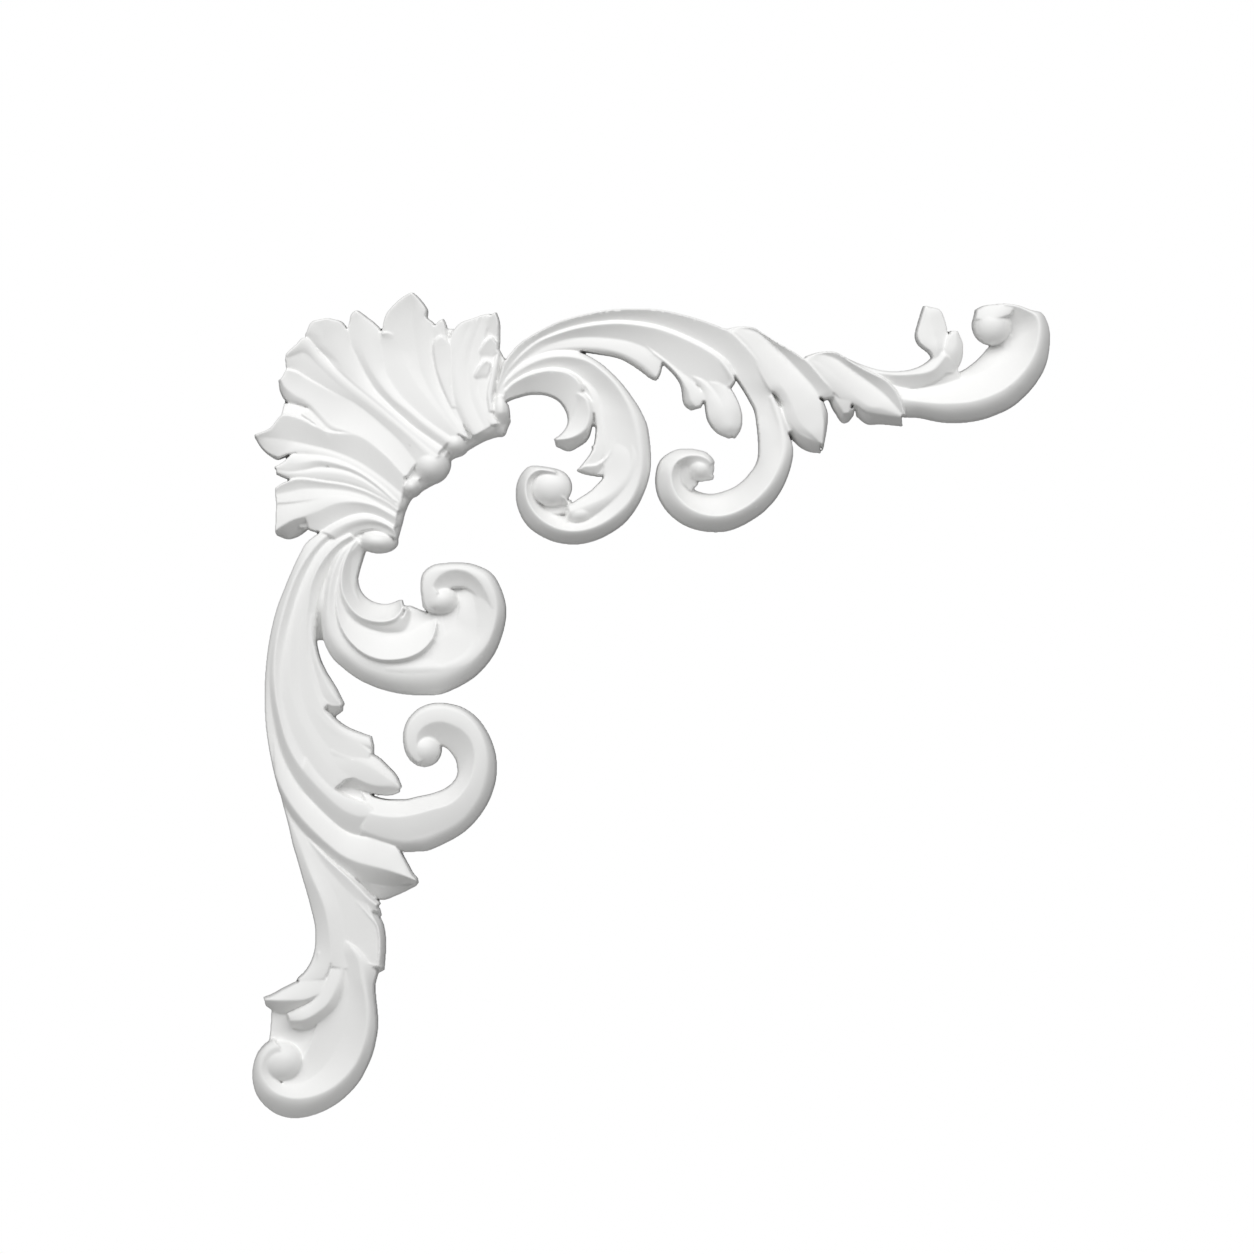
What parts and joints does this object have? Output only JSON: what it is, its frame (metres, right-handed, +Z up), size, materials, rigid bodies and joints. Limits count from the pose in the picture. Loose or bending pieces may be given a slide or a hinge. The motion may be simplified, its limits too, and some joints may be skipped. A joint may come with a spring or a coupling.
{
  "type": "corner applique",
  "caption": "White corner applique with a ribbed shell fan and two scrolling acanthus arms, flat on the back.",
  "frame": {"origin": "on the flat back, behind the middle of the shell fan", "axes": "+X along the upper arm, +Z up along the side arm towards the shell, +Y out of the flat back into the wall, relief towards -Y"},
  "size_m": [0.2994, 0.0169, 0.3097],
  "materials": {
    "primed_polyurethane": "satin white primer"
  },
  "bodies": {
    "root": {"corner_applique": "primed_polyurethane"}
  },
  "joints": []
}
